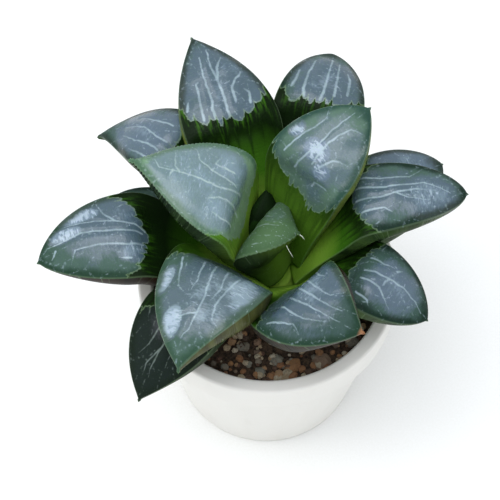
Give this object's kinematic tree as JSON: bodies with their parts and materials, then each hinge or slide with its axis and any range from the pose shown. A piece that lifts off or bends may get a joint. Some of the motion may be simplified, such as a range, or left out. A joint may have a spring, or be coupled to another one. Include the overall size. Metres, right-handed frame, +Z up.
{
  "type": "potted haworthia",
  "caption": "Small round pot of gritty soil holding a low rosette of thick, dark, windowed succulent leaves, for a shelf, sill or desk.",
  "frame": {"origin": "centre of the pot's flat underside", "axes": "+Z up along the pot's axis; the view of the picture looks along +Y and down, with +X to its right"},
  "size_m": [0.093, 0.0815, 0.087],
  "materials": {
    "leaf_young": "gloss",
    "leaf_shaded": "satin",
    "leaf_inner": "gloss",
    "leaf_middle": "gloss",
    "leaf_outer": "gloss",
    "leaf_oldest": "satin",
    "stock": "matte",
    "soil": "matte",
    "pot": "satin"
  },
  "bodies": {
    "root": {"leaf_a": "leaf_middle", "leaf_b": "leaf_outer", "leaf_c": "leaf_young", "leaf_d": "leaf_inner", "leaf_e": "leaf_middle", "leaf_f": "leaf_inner", "leaf_g": "leaf_middle", "leaf_h": "leaf_outer", "leaf_i": "leaf_outer", "leaf_j": "leaf_middle", "leaf_k": "leaf_inner", "leaf_l": "leaf_oldest", "leaf_m": "leaf_young", "leaf_n": "leaf_shaded", "leaf_p": "leaf_outer", "leaf_q": "leaf_outer", "stem": "stock", "soil": "soil", "pot": "pot"}
  },
  "joints": []
}
